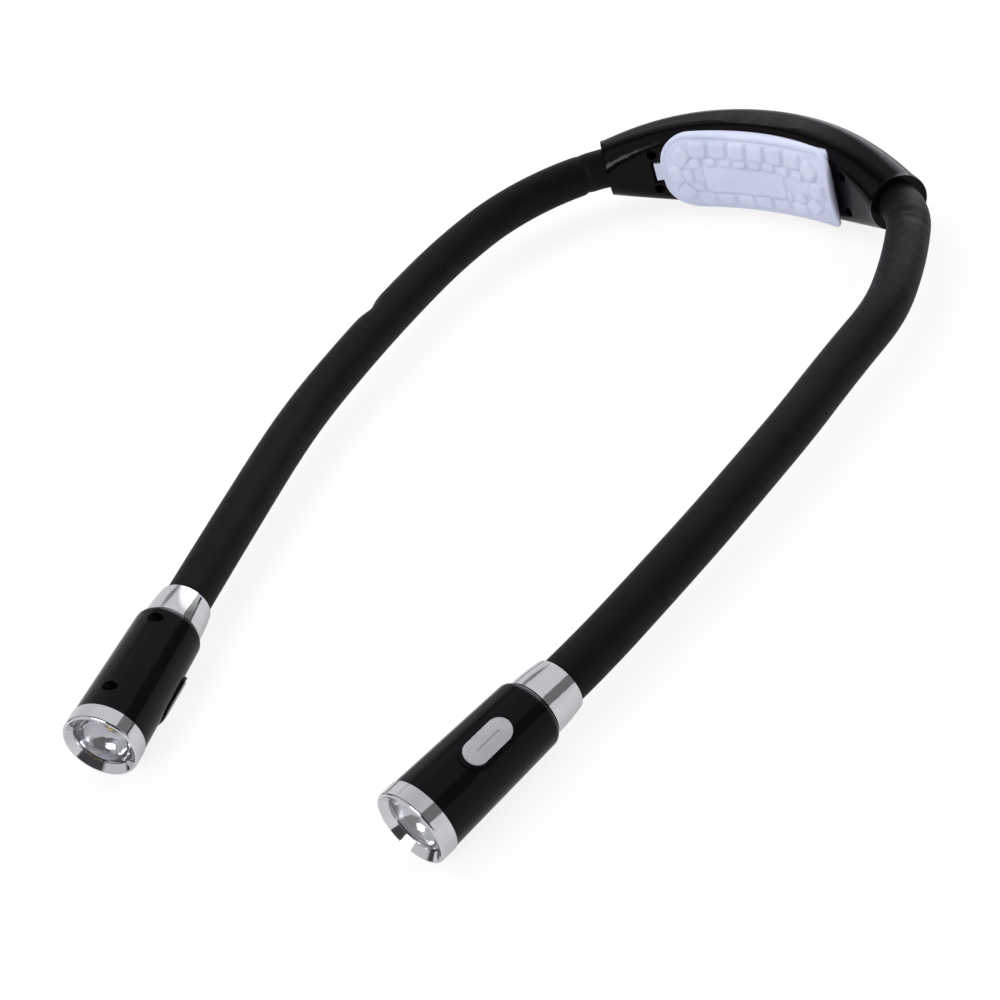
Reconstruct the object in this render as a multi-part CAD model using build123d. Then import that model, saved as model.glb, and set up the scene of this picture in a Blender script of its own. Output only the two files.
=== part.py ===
from build123d import *
from math import asin, atan2, cos, degrees, pi, radians, sin, sqrt
import os

# Hands-free reading light worn round the neck.
# +Z is up, the arms reach towards -Y and the crescent housing lies at the +Y end.
# The light is modelled as it lies on a table: on the housing's underside and both bezels.
# All sizes are millimetres and all angles degrees.

# Crescent housing
housing_height = 37.0
housing_crown = 0.3
housing_curve_radius = 108.0
housing_half_angle = 37.8
housing_swell_power = 2.5
housing_inner_depth = 12.0
housing_outer_depth = 8.8
housing_edge_radius = 5.0
housing_wall = 1.8
housing_station_shares = (-1, -0.85, -0.65, -0.4, 0, 0.4, 0.65, 0.85, 1)

# Mouths of the housing, where the arms enter
mouth_radius = 10.8
mouth_flat = 0.4
mouth_rim_rise = 0.3
mouth_rim_length = 3.0
mouth_neck_length = 8.0
mouth_web = 2.0

# Gooseneck arms
sleeve_radius = 8.0
sleeve_bore_radius = 4.4
spine_radius = 4.0
spine_bore_radius = 2.6
core_radius = 1.05
core_gap = 0.3
bend_length = 38.0
left_root_length = 22.5
left_link_length = 31.8
left_wrist_length = 16.0
left_tip_length = 30.6
right_root_length = 19.1
right_link_length = 24.7
right_wrist_length = 15.0
right_tip_length = 31.0
left_turns = (18.6, 25.7, 9.0, 3.9, 2.5, 7.2, 1.5, 0.4, 0.4)
right_turns = (-27.9, -8.85, -16.0, 2.6, -2.6, -0.7, -1.2, -0.9, -4.0)
sleeve_names = ("sleeve_root", "sleeve_bend_1", "sleeve_link_1", "sleeve_bend_2", "sleeve_link_2",
                "sleeve_bend_3", "sleeve_link_3", "sleeve_bend_4", "sleeve_tip")

# Ferrule that holds the spine in the housing
ferrule_radius = 5.0
ferrule_flange_radius = 7.0
ferrule_flange_thickness = 2.2
ferrule_seat_gap = 0.6
spine_tail = 1.5
lead_tail = 7.0

# Torch head, measured along its axis from the collar's rear edge
left_head_roll = 213.0
right_head_roll = -32.0
collar_rear_radius = 9.2
collar_front_radius = 10.2
collar_length = 12.0
collar_dome = 0.25
collar_socket_depth = 5.0
collar_spigot_radius = 8.5
collar_flange_radius = 9.5
collar_flange_thickness = 1.2
body_rear_radius = 11.7
body_front_radius = 12.75
body_length = 48.0
body_wall = 1.6
body_rear_wall = 1.8
body_rear_rounding = 3.0
bezel_radius = 13.0
bezel_length = 6.0
bezel_bore_radius = 11.0
bezel_lip_radius = 10.3
bezel_lip_length = 2.6
bezel_mouth_radius = 12.1
bezel_mouth_depth = 2.3
bezel_rounding = 0.8
bezel_skirt_length = 3.5
bezel_skirt_wall = 1.1
bezel_shelf = 0.6
lens_thickness = 1.4
reflector_throat_radius = 3.0
reflector_wall = 0.7
reflector_bulge_share = 0.62
reflector_bulge_height_share = 0.28
led_board_radius = 7.6
led_board_thickness = 1.4
led_board_notch_radius = 1.4
led_board_notch_count = 6
led_chip_side = 3.5
led_chip_height = 0.8
led_dome_radius = 1.5
led_rib_thickness = 1.5
led_rib_bore_radius = 6.4

# Push button and the switch under it
button_place_share = 0.48
button_length = 18.0
button_width = 8.0
button_rise = 0.45
button_travel = 0.6
button_flange = 1.0
button_flange_thickness = 1.0
button_groove_length = 9.5
button_groove_width = 0.5
button_groove_depth = 0.25
button_stem_radius = 2.2
button_rim_width = 1.5
button_rim_rise = 0.8
board_length = 24.0
board_width = 13.0
board_shift = 0.8
board_thickness = 1.2
board_rib_thickness = 1.4
board_rib_inset = 2.5
switch_side = 6.0
switch_height = 4.0
switch_plunger_radius = 1.7
switch_plunger_height = 0.5

# Screws of a head
head_screw_offset = 7.9
head_screw_rear_inset = 6.5
head_screw_front_inset = 8.8
head_screw_hole_radius = 2.1
head_screw_boss_wall = 0.7
head_screw_head_radius = 1.75
head_screw_head_height = 1.3
head_screw_shank_radius = 0.9
head_screw_web = 2.7
head_screw_reach = 4.0

# Screws of the housing
housing_screw_angle = 26.5
housing_screw_spread = 7.7
housing_screw_hole_radius = 2.0
housing_screw_boss_radius = 3.4
housing_screw_hole_depth = 6.0
housing_screw_head_radius = 1.8
housing_screw_head_height = 1.4
housing_screw_shank_radius = 1.0
housing_screw_reach = 4.5
screw_drive_depth = 0.7
screw_drive_width = 0.6
screw_drive_share = 0.7

# Battery door with its latch tab and hooks
door_half_length = 36.2
door_height = 28.6
door_lift = 1.0
door_front_rise = 0.8
door_plate = 2.0
door_skirt = 1.4
door_skirt_wall = 1.4
door_left_radius = 10.0
door_right_radius = 3.0
latch_length = 7.4
latch_width = 7.4
latch_thickness = 1.2
latch_shelf = 1.8
latch_margin = 1.2
latch_root = 2.4
tongue_width = 7.0
tongue_length = 1.9
tongue_thickness = 1.2
tongue_setback = 4.5

# Neck pad: a crowned cushion with rings of bumps round a bare plaque
pad_overhang = 2.2
pad_middle_thickness = 4.0
pad_curve_radius = 150.0
pad_crown = 2.4
pad_seat_gap = 0.2
bump_height = 0.8
bump_shoulder = 0.5
outer_bump_side = 6.6
outer_bump_inset = 5.2
inner_bump_side = 4.2
inner_bump_inset = 10.8
bump_count = 18
plaque_length = 38.0
plaque_height = 12.2
plaque_shift = -2.0
plaque_drop = 1.8
plaque_radius = 2.4
plaque_rise = 0.5

# Three battery cells with their contacts
cell_radius = 5.25
cell_length = 44.5
cell_nub_radius = 1.9
cell_nub_length = 0.9
cell_edge_radius = 0.5
cell_pitch = 10.6
cell_setback = 3.6
spring_length = 3.0
spring_wide_radius = 3.3
spring_narrow_radius = 1.8
spring_wire_radius = 0.3
spring_turns = 3
contact_thickness = 0.4
contact_width = 7.0
tray_rib_thickness = 1.5

# Clearances
fit_gap = 0.15
door_gap = 0.25
rib_gap = 0.3
stack_gap = 0.2
overrun = 2.0

# Places that follow from the sizes
mouth_height = housing_height / 2
crescent_centre_y = -housing_curve_radius * cos(radians(housing_half_angle))
mouth_x = housing_curve_radius * sin(radians(housing_half_angle))
inner_face_radius = housing_curve_radius - housing_inner_depth
socket_depth = mouth_neck_length - mouth_web
body_start = collar_length
body_end = body_start + body_length
button_place = body_start + body_length * button_place_share
head_length = body_end + bezel_length
housing_depth = housing_inner_depth + housing_outer_depth
tall = housing_height + 2 * overrun
standing = (Align.CENTER, Align.CENTER, Align.MIN)
door_front_radius = inner_face_radius - door_front_rise
door_centre_height = mouth_height + door_lift


def lerp(start, end, share):
    return start + (end - start) * share


def cylinder_between(radius, start, end):
    """A cylinder on the local Z axis from start to end."""
    return Pos(0, 0, start) * Cylinder(radius, end - start, align=standing)


def ring_between(radius, bore, start, end):
    """A tube on the local Z axis from start to end."""
    return cylinder_between(radius, start, end) - cylinder_between(bore, start - overrun, end + overrun)


def slot_prism(length, width, start, end):
    """A slot outline along local Z, standing on local X from start to end."""
    plane = Plane(origin=(start, 0, 0), x_dir=(0, 0, 1), z_dir=(1, 0, 0))
    return extrude(plane * SlotOverall(length, width), amount=end - start)


def crescent_cylinder(radius, height=tall):
    """A vertical cylinder about the centre of the crescent's curve."""
    return Pos(0, crescent_centre_y, mouth_height) * Cylinder(radius, height)


def crescent_band(inner, outer, height=tall):
    return crescent_cylinder(outer, height) - crescent_cylinder(inner, height + overrun)


# Housing

def housing_plane(angle):
    """Section plane of the crescent: local X points outwards and local Y up."""
    turn = radians(angle)
    centre = Vector(0, crescent_centre_y, mouth_height)
    origin = centre + Vector(sin(turn), cos(turn), 0) * housing_curve_radius
    return Plane(origin=origin, x_dir=(sin(turn), cos(turn), 0), z_dir=(cos(turn), -sin(turn), 0))


def housing_section(angle, inset):
    """A face of the swelling section: flat towards the neck, half an ellipse outside."""
    share = 1 - abs(angle / housing_half_angle) ** housing_swell_power
    half = lerp(mouth_radius, housing_height / 2 + housing_crown, share) - inset
    inner = lerp(mouth_radius, housing_inner_depth, share) - inset
    outer = lerp(mouth_radius, housing_outer_depth, share) - inset
    corner = lerp(mouth_radius - mouth_flat, housing_edge_radius, share) - inset
    reach = corner * sqrt(0.5)
    centre_x = corner - inner
    centre_y = half - corner
    top_arc = ThreePointArc(
        (-inner, centre_y), (centre_x - reach, centre_y + reach), (centre_x, half))
    bottom_arc = ThreePointArc(
        (centre_x, -half), (centre_x - reach, -centre_y - reach), (-inner, -centre_y))
    wire = Wire([
        Line((-inner, -centre_y), (-inner, centre_y)),
        top_arc,
        Line((centre_x, half), (0, half)),
        EllipticalCenterArc((0, 0), outer, half, start_angle=90, arc_size=-90),
        EllipticalCenterArc((0, 0), outer, half, start_angle=0, arc_size=-90),
        Line((0, -half), (centre_x, -half)),
        bottom_arc,
    ])
    return housing_plane(angle) * Face(wire)


def housing_form(half_angle, inset):
    """The crescent, or its cavity when inset, with flat lands above and below."""
    sections = [housing_section(half_angle * share, inset) for share in housing_station_shares]
    slab = crescent_cylinder(housing_curve_radius * 2, housing_height - 2 * inset)
    return loft(sections) & slab


def housing_screw_planes():
    """Planes at the split face, one for each housing screw, with local Z towards the neck."""
    planes = []
    for angle in (-housing_screw_angle, housing_screw_angle):
        for lift in (-housing_screw_spread, housing_screw_spread):
            turn = radians(angle)
            radial = Vector(sin(turn), cos(turn), 0)
            origin = Vector(0, crescent_centre_y, mouth_height + lift) + radial * housing_curve_radius
            planes.append(Plane(origin=origin, x_dir=(0, 0, 1), z_dir=-radial))
    return planes


def door_prism(half_length, height, left_radius, right_radius):
    """The door's rounded outline, seen along Y, as a long prism through the housing."""
    half = height / 2
    outline = Plane.XZ * Pos(0, door_centre_height) * Rectangle(2 * half_length, height)
    corners = outline.vertices().group_by(Axis.X)
    outline = fillet(corners[-1], right_radius)
    outline = fillet(outline.vertices().group_by(Axis.X)[0], left_radius) if left_radius < half else outline
    return extrude(outline, amount=housing_curve_radius, both=True)


def arc_place(angle, radius, height, centre_y):
    """Location on a vertical cylinder about a centre on the Y axis, local Z towards the neck."""
    turn = radians(angle)
    radial = Vector(sin(turn), cos(turn), 0)
    origin = Vector(0, centre_y, mouth_height + height) + radial * radius
    return Location(Plane(origin=origin, x_dir=(cos(turn), -sin(turn), 0), z_dir=-radial))


def latch_block(length, width, root, near, far):
    """A box round the latch tab at the door's left end, between two radii and set in by the root."""
    angle = -degrees(asin(door_half_length / inner_face_radius))
    depth = far - near
    box = Box(length, width, depth, align=(Align.MAX, Align.CENTER, Align.MAX))
    return arc_place(angle, near, 0, crescent_centre_y) * Pos(root, 0, 0) * box


def tray_ribs():
    """The two cross walls that stand at the ends of the battery cells."""
    half = (cell_length + spring_length) / 2 + contact_thickness
    rib = Box(tray_rib_thickness, housing_inner_depth + housing_depth, tall)
    centre_y = crescent_centre_y + housing_curve_radius
    place = half + tray_rib_thickness / 2
    return [Pos(side * place, centre_y, mouth_height) * rib for side in (-1, 1)]


def build_housing():
    """The two shells, split along the crescent's curve, and their screws."""
    outside = housing_form(housing_half_angle, 0)
    cavity_angle = housing_half_angle - degrees(mouth_neck_length / housing_curve_radius)
    cavity = housing_form(cavity_angle, housing_wall)
    for side in (-1, 1):
        rim = cylinder_between(mouth_radius + mouth_rim_rise, -mouth_rim_length, 0)
        outside += Location(station_plane(side, 0)) * rim
    bosses = [Location(plane) * Cylinder(housing_screw_boss_radius, 2 * housing_depth)
              for plane in housing_screw_planes()]
    shelf = latch_block(latch_length + latch_margin + tray_rib_thickness, latch_width + 4 * latch_margin, 0,
                        inner_face_radius, inner_face_radius + housing_wall + latch_shelf)
    front_cavity = cavity - bosses - tray_ribs() - shelf
    back_cavity = cavity - bosses
    inside_split = crescent_cylinder(housing_curve_radius)
    front = (outside & inside_split) - front_cavity
    back = (outside - inside_split) - back_cavity

    for side in (-1, 1):
        place = Location(station_plane(side, 0))
        socket = cylinder_between(sleeve_radius + fit_gap, -socket_depth, overrun)
        web_hole = cylinder_between(ferrule_radius + fit_gap, -mouth_neck_length - overrun, 0)
        front = front - place * socket - place * web_hole
        back = back - place * socket - place * web_hole

    window = door_prism(door_half_length + door_gap, door_height + 2 * door_gap,
                        door_left_radius, door_right_radius)
    skirt_back = door_front_radius + door_plate + door_skirt
    front -= window & crescent_band(inner_face_radius - housing_inner_depth, skirt_back + door_gap)
    front -= latch_block(latch_root + latch_length + latch_margin, latch_width + 2 * latch_margin, latch_root,
                         inner_face_radius - overrun, inner_face_radius + latch_thickness + 2 * door_gap)

    screws = []
    for plane in housing_screw_planes():
        place = Location(plane)
        seat = housing_inner_depth - housing_screw_hole_depth
        front -= place * cylinder_between(housing_screw_hole_radius, seat, 2 * housing_inner_depth)
        front -= place * cylinder_between(housing_screw_shank_radius + fit_gap, -overrun, seat + overrun)
        pilot = cylinder_between(housing_screw_shank_radius + fit_gap / 2, -housing_screw_reach, overrun)
        back -= place * pilot
        screws.append(place * make_screw(housing_screw_head_radius, housing_screw_head_height,
                                         housing_screw_shank_radius, seat, housing_screw_reach))

    reach_back = cavity_rib_extension()
    return front + reach_back, back, Compound(screws)


def cavity_rib_extension():
    """The part of the tray walls that stands behind the split, clear of the back shell."""
    cavity_angle = housing_half_angle / 2
    loose = housing_form(cavity_angle, housing_wall + rib_gap)
    ribs = [rib & loose for rib in tray_ribs()]
    return [rib - crescent_cylinder(housing_curve_radius) for rib in ribs]


def make_screw(head_radius, head_height, shank_radius, seat, reach):
    """A cross-head screw on local Z: its head stands on the seat and its shank points down."""
    screw = cylinder_between(head_radius, seat, seat + head_height)
    screw = chamfer(screw.edges().group_by(Axis.Z)[-1], head_height / 4)
    screw += cylinder_between(shank_radius, -reach, seat)
    cross = Box(2 * head_radius, screw_drive_width, screw_drive_depth)
    top = seat + head_height - screw_drive_depth / 2
    for turn in (0, 90):
        screw -= Pos(0, 0, top) * Rot(0, 0, turn) * scale(cross, (screw_drive_share, 1, 1))
    return screw


# Battery door and neck pad

def door_hinge_line():
    """Where the door pivots, seen from above: level with its face and above the tongue's tip."""
    x = door_half_length + tongue_length
    return x, crescent_centre_y + sqrt(door_front_radius ** 2 - x ** 2)


def build_door():
    """The curved door with its skirt, the latch tab at one end and the tongue at the other."""
    outline = door_prism(door_half_length, door_height, door_left_radius, door_right_radius)
    inset = door_prism(door_half_length - door_skirt_wall, door_height - 2 * door_skirt_wall,
                       door_left_radius - door_skirt_wall, door_right_radius - door_skirt_wall)
    plate = outline & crescent_band(door_front_radius, door_front_radius + door_plate)
    back_radius = door_front_radius + door_plate + door_skirt
    skirt = (outline - inset) & crescent_band(door_front_radius, back_radius)
    tab = latch_block(latch_root + latch_length, latch_width, latch_root,
                      inner_face_radius + door_gap, inner_face_radius + door_gap + latch_thickness)
    x, y = door_hinge_line()
    corner = (Align.MAX, Align.MIN, Align.CENTER)
    tongue = Pos(0, tongue_setback, 0) * Box(2 * tongue_length, tongue_thickness, tongue_width, align=corner)
    leg = Box(tongue_length, tongue_setback + tongue_thickness - door_plate, tongue_width, align=corner)
    leg = Pos(-tongue_length, door_plate, 0) * leg
    return plate + skirt + tab + Pos(x, y, door_centre_height) * (tongue + leg)


def build_pad():
    """The crowned pad, flatter than the door behind it, with two rings of bumps round the plaque."""
    back = door_front_radius - pad_seat_gap
    half = door_height / 2 + pad_overhang
    centre_y = crescent_centre_y + back - pad_middle_thickness - pad_curve_radius
    deep = pad_curve_radius + 2 * pad_middle_thickness
    edge = pad_curve_radius
    crown = edge - pad_crown
    profile = Face(Wire([
        Line((deep, -half), (edge, -half)),
        ThreePointArc((edge, -half), (crown, 0), (edge, half)),
        Line((edge, half), (deep, half)),
        Line((deep, half), (deep, -half)),
    ]))
    crown_radius = (half ** 2 + pad_crown ** 2) / (2 * pad_crown)
    stand = Plane(origin=(0, centre_y, door_centre_height), x_dir=(0, 1, 0), z_dir=(1, 0, 0))
    sweep_angle = 2 * housing_screw_angle
    section = Location(stand) * profile
    axis = Axis((0, centre_y, 0), (0, 0, 1))
    seat = crescent_cylinder(back)
    body = revolve(section.rotate(axis, -sweep_angle / 2), axis, revolution_arc=sweep_angle) & seat
    outline = door_prism(door_half_length + pad_overhang, 2 * half,
                         door_left_radius + pad_overhang, door_right_radius + pad_overhang)
    pad = body & outline

    def surface_place(along, lift):
        """Location on the crowned face, local Z out of the pad."""
        tilt = degrees(asin(lift / crown_radius))
        radius = crown + crown_radius * (1 - cos(radians(tilt)))
        return arc_place(degrees(along / crown), radius, lift + door_lift, centre_y) * Rot(-tilt, 0, 0)

    raised = []
    for inset, side in ((outer_bump_inset, outer_bump_side), (inner_bump_inset, inner_bump_side)):
        bump = make_bump(side)
        for along, lift, turn in loop_places(door_half_length + pad_overhang - inset, half - inset):
            raised.append(surface_place(along, lift) * Rot(0, 0, turn) * bump)
    plaque = RectangleRounded(plaque_length, plaque_height, plaque_radius)
    prism = Plane.XZ * Pos(plaque_shift, door_centre_height - plaque_drop) * plaque
    band = revolve(
        (Location(stand) * Pos(-plaque_rise, 0) * profile).rotate(axis, -sweep_angle / 2),
        axis, revolution_arc=sweep_angle)
    raised.append(extrude(prism, amount=housing_curve_radius, both=True) & band & seat)
    return pad + raised


def make_bump(side):
    """A low round bump with sloping sides, whose foot is sunk in the pad's face."""
    sunk = bump_height / 2
    slope = bump_shoulder / bump_height
    foot_radius = side / 2 + sunk * slope
    top_radius = side / 2 - bump_shoulder
    return Pos(0, 0, -sunk) * Cone(foot_radius, top_radius, bump_height + sunk,
                                   align=standing)


def loop_places(half_length, half_height):
    """Evenly spaced places on a slot-shaped loop: along, lift and turn of each."""
    radius = min(half_height, half_length)
    straight = 2 * (half_length - radius)
    total = 2 * straight + 2 * pi * radius
    places = []
    for index in range(bump_count):
        run = (total * (index + 1 / 2) / bump_count + straight / 2) % total
        if run < straight:
            places.append((run - straight / 2, radius, 0))
            continue
        run -= straight
        if run < pi * radius:
            turn = run / radius
            places.append((straight / 2 + radius * sin(turn), radius * cos(turn), -degrees(turn)))
            continue
        run -= pi * radius
        if run < straight:
            places.append((straight / 2 - run, -radius, 180))
            continue
        turn = (run - straight) / radius
        places.append((-straight / 2 - radius * sin(turn), -radius * cos(turn), -degrees(turn)))
    return places


# Batteries

def row_places():
    """The three rows of cells: height of each and the side its positive end faces."""
    return ((cell_pitch, 1), (0, -1), (-cell_pitch, 1))


def cell_axis(lift):
    """Location at the middle of a cell's row, local Z along X."""
    centre_y = crescent_centre_y + housing_curve_radius - cell_setback
    return Location(Plane(origin=(0, centre_y, mouth_height + lift), x_dir=(0, 1, 0), z_dir=(1, 0, 0)))


def build_cell(lift, side):
    half = (cell_length + spring_length) / 2
    barrel_end = half - cell_nub_length
    barrel = cylinder_between(cell_radius, half - cell_length, barrel_end)
    barrel = fillet(barrel.edges().filter_by(GeomType.CIRCLE), cell_edge_radius)
    cell = barrel + cylinder_between(cell_nub_radius, barrel_end - overrun, half)
    flip = Rot(0, 0, 0) if side > 0 else Rot(0, 180, 0)
    return cell_axis(lift) * flip * cell


def build_spring(lift, side):
    """A conical coil between a cell's flat end and its contact plate."""
    half = (cell_length + spring_length) / 2
    rise = spring_length - 2 * spring_wire_radius
    cone = degrees(atan2(spring_wide_radius - spring_narrow_radius, rise))
    path = Helix(pitch=rise / spring_turns, height=rise, radius=spring_wide_radius, cone_angle=-cone)
    wire = sweep((path ^ 0) * RegularPolygon(spring_wire_radius, 6), path=path, is_frenet=True)
    flip = Rot(0, 0, 0) if side > 0 else Rot(0, 180, 0)
    return cell_axis(lift) * flip * Pos(0, 0, spring_wire_radius - half) * wire


def build_contacts():
    """Two single plates and two that join neighbouring cells, so the cells run in series."""
    top, middle, bottom = [lift for lift, side in row_places()]
    pairs = ((1, top, middle), (1, bottom, bottom), (-1, top, top), (-1, middle, bottom))
    plates = []
    half = (cell_length + spring_length) / 2 + contact_thickness / 2
    for side, high, low in pairs:
        tall = high - low + contact_width
        plate = Box(contact_width, tall, contact_thickness)
        plates.append(cell_axis((high + low) / 2) * Pos(0, 0, side * half) * plate)
    return Compound(plates)


# Arms

def arm_lengths(side):
    if side < 0:
        root, link, wrist, tip = left_root_length, left_link_length, left_wrist_length, left_tip_length
    else:
        root, link, wrist, tip = right_root_length, right_link_length, right_wrist_length, right_tip_length
    return (root, bend_length, link, bend_length, link, bend_length, wrist, bend_length, tip)


def arm_turns(side):
    return left_turns if side < 0 else right_turns


def plan_path(side):
    """Start point and heading of each stretch of an arm in its own plane, and of its end."""
    heading = -housing_half_angle if side > 0 else housing_half_angle - 180
    x, y = 0, 0
    stations = [(x, y, heading)]
    for length, turn in zip(arm_lengths(side), arm_turns(side)):
        chord = length * sin(radians(turn / 2)) / radians(turn / 2)
        middle = radians(heading + turn / 2)
        x += chord * cos(middle)
        y += chord * sin(middle)
        heading += turn
        stations.append((x, y, heading))
    return stations


def arm_slope(side):
    """How steeply an arm falls, so that the bezel's rim comes down to the table."""
    x, y, heading = plan_path(side)[-1]
    reach = -y - head_length * sin(radians(heading))
    return degrees(asin((mouth_height - bezel_radius) / reach))


def arm_frame(side):
    """The tilted plane that an arm lies in, with its origin at the mouth."""
    tilt = radians(arm_slope(side))
    return Plane(origin=(side * mouth_x, 0, mouth_height), x_dir=(1, 0, 0), z_dir=(0, -sin(tilt), cos(tilt)))


def station_plane(side, index):
    """Cross-section plane of an arm at a station: local Z runs along it, local X is up."""
    frame = arm_frame(side)
    x, y, heading = plan_path(side)[index]
    along = frame.x_dir * cos(radians(heading)) + frame.y_dir * sin(radians(heading))
    return Plane(origin=frame.from_local_coords((x, y, 0)), x_dir=frame.z_dir, z_dir=along)


def arm_stretch(side, index, section):
    """One arc of the arm: the flat section carried along it."""
    frame = arm_frame(side)
    plane = station_plane(side, index)
    length = arm_lengths(side)[index]
    turn = arm_turns(side)[index]
    radius = length / radians(abs(turn))
    across = plane.x_dir.cross(plane.z_dir) * (1 if turn > 0 else -1)
    centre = plane.origin + across * radius
    direction = frame.z_dir if turn > 0 else -frame.z_dir
    return revolve(Location(plane) * section, Axis(centre, direction), revolution_arc=abs(turn))


def arm_tube(side, section, tail_start, tail_end):
    """The section carried along the whole arm, with straight tails at both ends."""
    start, end = station_plane(side, 0), station_plane(side, -1)
    pieces = [extrude(Location(start) * section, amount=-tail_start)]
    pieces += [arm_stretch(side, index, section) for index in range(len(arm_turns(side)))]
    pieces.append(extrude(Location(end) * section, amount=tail_end))
    tube = pieces[0]
    for piece in pieces[1:]:
        tube += piece
    return tube


def build_arm(side):
    """Sleeve stretches, gooseneck spine, leads and ferrule of one arm, by node name."""
    pieces = {}
    section = Circle(sleeve_radius) - Circle(sleeve_bore_radius)
    for index, name in enumerate(sleeve_names):
        pieces[name] = arm_stretch(side, index, section)
    start, end = station_plane(side, 0), station_plane(side, -1)
    pieces["sleeve_root"] += extrude(Location(start) * section, amount=-socket_depth)
    pieces["sleeve_tip"] += extrude(Location(end) * section, amount=collar_socket_depth)

    spine_start = mouth_neck_length + ferrule_seat_gap + ferrule_flange_thickness + spine_tail
    spine_end = collar_length + body_rear_wall
    spine_section = Circle(spine_radius) - Circle(spine_bore_radius)
    pieces["gooseneck_spine"] = arm_tube(side, spine_section, spine_start, spine_end)

    offset = core_radius + core_gap / 2
    core_end = board_start() - fit_gap
    cores = [arm_tube(side, Pos(lift, 0) * Circle(core_radius), spine_start + lead_tail, core_end)
             for lift in (-offset, offset)]
    pieces["leads"] = Compound(cores)

    place = Location(station_plane(side, 0))
    flange_start = mouth_neck_length + ferrule_seat_gap
    ferrule = cylinder_between(ferrule_flange_radius, -flange_start - ferrule_flange_thickness, -flange_start)
    ferrule += cylinder_between(ferrule_radius, -flange_start - overrun, -socket_depth)
    ferrule -= cylinder_between(spine_radius + fit_gap, -housing_curve_radius, housing_curve_radius)
    pieces["arm_anchor"] = place * ferrule
    return pieces


# Heads, modelled on local Z from the collar's rear, with the button on local +X

def body_radius_at(place):
    return lerp(body_rear_radius, body_front_radius, (place - body_start) / body_length)


def head_screw_places():
    return (body_start + head_screw_rear_inset, body_end - head_screw_front_inset)


def led_board_start():
    return head_screw_places()[1] + head_screw_hole_radius + head_screw_boss_wall + stack_gap


def board_start():
    return button_place - board_length / 2 + board_shift


def build_collar():
    """Turned collar: a socket for the sleeve, and a spigot and flange inside the body."""
    middle = collar_length / 2
    bulge = (collar_rear_radius + collar_front_radius) / 2 + collar_dome
    profile = Face(Wire([
        Line((0, 0), (collar_rear_radius, 0)),
        ThreePointArc((collar_rear_radius, 0), (bulge, middle), (collar_front_radius, collar_length)),
        Line((collar_front_radius, collar_length), (0, collar_length)),
        Line((0, collar_length), (0, 0)),
    ]))
    collar = revolve(Location(Plane.XZ) * profile, Axis.Z)
    groove_end = body_start + body_rear_wall + stack_gap
    collar += cylinder_between(collar_spigot_radius, collar_length - overrun, groove_end)
    collar += cylinder_between(collar_flange_radius, groove_end, groove_end + collar_flange_thickness)
    collar -= cylinder_between(sleeve_radius + fit_gap, -overrun, collar_socket_depth)
    return collar - cylinder_between(spine_radius + fit_gap, -overrun, head_length)


def body_shape(inset):
    """The tapered body as a solid, or its cavity when inset."""
    start = body_start + (body_rear_wall if inset else 0)
    end = body_end + (overrun if inset else 0)
    face = Face(Wire.make_polygon([
        (0, start), (body_radius_at(start) - inset, start), (body_radius_at(end) - inset, end), (0, end)]))
    return revolve(Location(Plane.XZ) * face, Axis.Z)


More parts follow.
